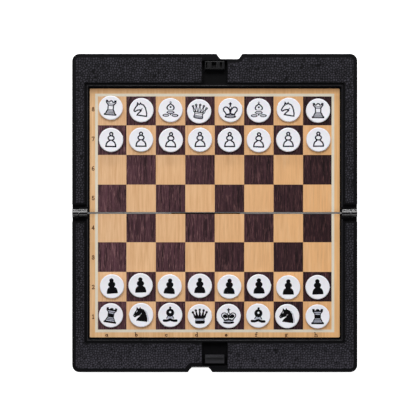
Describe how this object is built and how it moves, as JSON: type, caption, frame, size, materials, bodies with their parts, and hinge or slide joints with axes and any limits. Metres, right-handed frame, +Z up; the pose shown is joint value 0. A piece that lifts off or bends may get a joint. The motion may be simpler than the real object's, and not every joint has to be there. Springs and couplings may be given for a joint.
{
  "type": "folding magnetic travel chess set",
  "caption": "Folding magnetic travel chess set, opened flat: hinged grained trays, a printed board on steel, flat magnetic discs that lift off, and a snap latch.",
  "frame": {"origin": "bottom centre of the opened set's bounding box: on the table under the middle of the seam", "axes": "+X along the seam from file a to file h, +Y from rank 1 to rank 8, +Z up out of the board"},
  "size_m": [0.17, 0.1898, 0.0108],
  "materials": {
    "case_plastic": "black, leather-grained panels with a smooth border",
    "latch_plastic": "black, smooth moulded",
    "sheet_steel": "plain mild steel sheet",
    "pin_steel": "drawn steel wire",
    "board_print": "wood-effect print, satin laminate",
    "disc_plastic": "white, satin moulded",
    "symbol_ink": "black pad-printed ink",
    "magnet": "dark bonded ferrite"
  },
  "bodies": {
    "near_half": {"near_half_shell": "case_plastic", "near_steel_sheet": "sheet_steel", "near_board_print": "board_print", "left_hinge_pin": "pin_steel", "right_hinge_pin": "pin_steel"},
    "far_half": {"far_half_shell": "case_plastic", "far_steel_sheet": "sheet_steel", "far_board_print": "board_print", "latch_catch": "latch_plastic"},
    "latch_tongue": {"latch_tongue": "latch_plastic"},
    "white_rook_a": {"white_rook_a": "disc_plastic"},
    "white_knight_b": {"white_knight_b": "disc_plastic"},
    "white_bishop_c": {"white_bishop_c": "disc_plastic"},
    "white_queen_d": {"white_queen_d": "disc_plastic"},
    "white_king_e": {"white_king_e": "disc_plastic"},
    "white_bishop_f": {"white_bishop_f": "disc_plastic"},
    "white_knight_g": {"white_knight_g": "disc_plastic"},
    "white_rook_h": {"white_rook_h": "disc_plastic"},
    "white_pawn_a": {"white_pawn_a": "disc_plastic"},
    "white_pawn_b": {"white_pawn_b": "disc_plastic"},
    "white_pawn_c": {"white_pawn_c": "disc_plastic"},
    "white_pawn_d": {"white_pawn_d": "disc_plastic"},
    "white_pawn_e": {"white_pawn_e": "disc_plastic"},
    "white_pawn_f": {"white_pawn_f": "disc_plastic"},
    "white_pawn_g": {"white_pawn_g": "disc_plastic"},
    "white_pawn_h": {"white_pawn_h": "disc_plastic"},
    "black_rook_a": {"black_rook_a": "disc_plastic"},
    "black_knight_b": {"black_knight_b": "disc_plastic"},
    "black_bishop_c": {"black_bishop_c": "disc_plastic"},
    "black_queen_d": {"black_queen_d": "disc_plastic"},
    "black_king_e": {"black_king_e": "disc_plastic"},
    "black_bishop_f": {"black_bishop_f": "disc_plastic"},
    "black_knight_g": {"black_knight_g": "disc_plastic"},
    "black_rook_h": {"black_rook_h": "disc_plastic"},
    "black_pawn_a": {"black_pawn_a": "disc_plastic"},
    "black_pawn_b": {"black_pawn_b": "disc_plastic"},
    "black_pawn_c": {"black_pawn_c": "disc_plastic"},
    "black_pawn_d": {"black_pawn_d": "disc_plastic"},
    "black_pawn_e": {"black_pawn_e": "disc_plastic"},
    "black_pawn_f": {"black_pawn_f": "disc_plastic"},
    "black_pawn_g": {"black_pawn_g": "disc_plastic"},
    "black_pawn_h": {"black_pawn_h": "disc_plastic"}
  },
  "joints": [
    {"name": "fold", "type": "hinge", "parent": "near_half", "child": "far_half", "pos_m": [0, 0, 0.008], "axis": [-1, 0, 0], "range_deg": [-180, 0]},
    {"name": "latch_flex", "type": "hinge", "parent": "near_half", "child": "latch_tongue", "pos_m": [0, -0.08915, 0.0025], "axis": [-1, 0, 0], "range_deg": [0, 5], "stiffness_Nm_per_rad": 0.5},
    {"name": "white_rook_a_lift", "type": "slide", "parent": "far_half", "child": "white_rook_a", "axis": [0, 0, 1], "range_m": [0, 0.015]},
    {"name": "white_knight_b_lift", "type": "slide", "parent": "far_half", "child": "white_knight_b", "axis": [0, 0, 1], "range_m": [0, 0.015]},
    {"name": "white_bishop_c_lift", "type": "slide", "parent": "far_half", "child": "white_bishop_c", "axis": [0, 0, 1], "range_m": [0, 0.015]},
    {"name": "white_queen_d_lift", "type": "slide", "parent": "far_half", "child": "white_queen_d", "axis": [0, 0, 1], "range_m": [0, 0.015]},
    {"name": "white_king_e_lift", "type": "slide", "parent": "far_half", "child": "white_king_e", "axis": [0, 0, 1], "range_m": [0, 0.015]},
    {"name": "white_bishop_f_lift", "type": "slide", "parent": "far_half", "child": "white_bishop_f", "axis": [0, 0, 1], "range_m": [0, 0.015]},
    {"name": "white_knight_g_lift", "type": "slide", "parent": "far_half", "child": "white_knight_g", "axis": [0, 0, 1], "range_m": [0, 0.015]},
    {"name": "white_rook_h_lift", "type": "slide", "parent": "far_half", "child": "white_rook_h", "axis": [0, 0, 1], "range_m": [0, 0.015]},
    {"name": "white_pawn_a_lift", "type": "slide", "parent": "far_half", "child": "white_pawn_a", "axis": [0, 0, 1], "range_m": [0, 0.015]},
    {"name": "white_pawn_b_lift", "type": "slide", "parent": "far_half", "child": "white_pawn_b", "axis": [0, 0, 1], "range_m": [0, 0.015]},
    {"name": "white_pawn_c_lift", "type": "slide", "parent": "far_half", "child": "white_pawn_c", "axis": [0, 0, 1], "range_m": [0, 0.015]},
    {"name": "white_pawn_d_lift", "type": "slide", "parent": "far_half", "child": "white_pawn_d", "axis": [0, 0, 1], "range_m": [0, 0.015]},
    {"name": "white_pawn_e_lift", "type": "slide", "parent": "far_half", "child": "white_pawn_e", "axis": [0, 0, 1], "range_m": [0, 0.015]},
    {"name": "white_pawn_f_lift", "type": "slide", "parent": "far_half", "child": "white_pawn_f", "axis": [0, 0, 1], "range_m": [0, 0.015]},
    {"name": "white_pawn_g_lift", "type": "slide", "parent": "far_half", "child": "white_pawn_g", "axis": [0, 0, 1], "range_m": [0, 0.015]},
    {"name": "white_pawn_h_lift", "type": "slide", "parent": "far_half", "child": "white_pawn_h", "axis": [0, 0, 1], "range_m": [0, 0.015]},
    {"name": "black_rook_a_lift", "type": "slide", "parent": "near_half", "child": "black_rook_a", "axis": [0, 0, 1], "range_m": [0, 0.015]},
    {"name": "black_knight_b_lift", "type": "slide", "parent": "near_half", "child": "black_knight_b", "axis": [0, 0, 1], "range_m": [0, 0.015]},
    {"name": "black_bishop_c_lift", "type": "slide", "parent": "near_half", "child": "black_bishop_c", "axis": [0, 0, 1], "range_m": [0, 0.015]},
    {"name": "black_queen_d_lift", "type": "slide", "parent": "near_half", "child": "black_queen_d", "axis": [0, 0, 1], "range_m": [0, 0.015]},
    {"name": "black_king_e_lift", "type": "slide", "parent": "near_half", "child": "black_king_e", "axis": [0, 0, 1], "range_m": [0, 0.015]},
    {"name": "black_bishop_f_lift", "type": "slide", "parent": "near_half", "child": "black_bishop_f", "axis": [0, 0, 1], "range_m": [0, 0.015]},
    {"name": "black_knight_g_lift", "type": "slide", "parent": "near_half", "child": "black_knight_g", "axis": [0, 0, 1], "range_m": [0, 0.015]},
    {"name": "black_rook_h_lift", "type": "slide", "parent": "near_half", "child": "black_rook_h", "axis": [0, 0, 1], "range_m": [0, 0.015]},
    {"name": "black_pawn_a_lift", "type": "slide", "parent": "near_half", "child": "black_pawn_a", "axis": [0, 0, 1], "range_m": [0, 0.015]},
    {"name": "black_pawn_b_lift", "type": "slide", "parent": "near_half", "child": "black_pawn_b", "axis": [0, 0, 1], "range_m": [0, 0.015]},
    {"name": "black_pawn_c_lift", "type": "slide", "parent": "near_half", "child": "black_pawn_c", "axis": [0, 0, 1], "range_m": [0, 0.015]},
    {"name": "black_pawn_d_lift", "type": "slide", "parent": "near_half", "child": "black_pawn_d", "axis": [0, 0, 1], "range_m": [0, 0.015]},
    {"name": "black_pawn_e_lift", "type": "slide", "parent": "near_half", "child": "black_pawn_e", "axis": [0, 0, 1], "range_m": [0, 0.015]},
    {"name": "black_pawn_f_lift", "type": "slide", "parent": "near_half", "child": "black_pawn_f", "axis": [0, 0, 1], "range_m": [0, 0.015]},
    {"name": "black_pawn_g_lift", "type": "slide", "parent": "near_half", "child": "black_pawn_g", "axis": [0, 0, 1], "range_m": [0, 0.015]},
    {"name": "black_pawn_h_lift", "type": "slide", "parent": "near_half", "child": "black_pawn_h", "axis": [0, 0, 1], "range_m": [0, 0.015]}
  ]
}
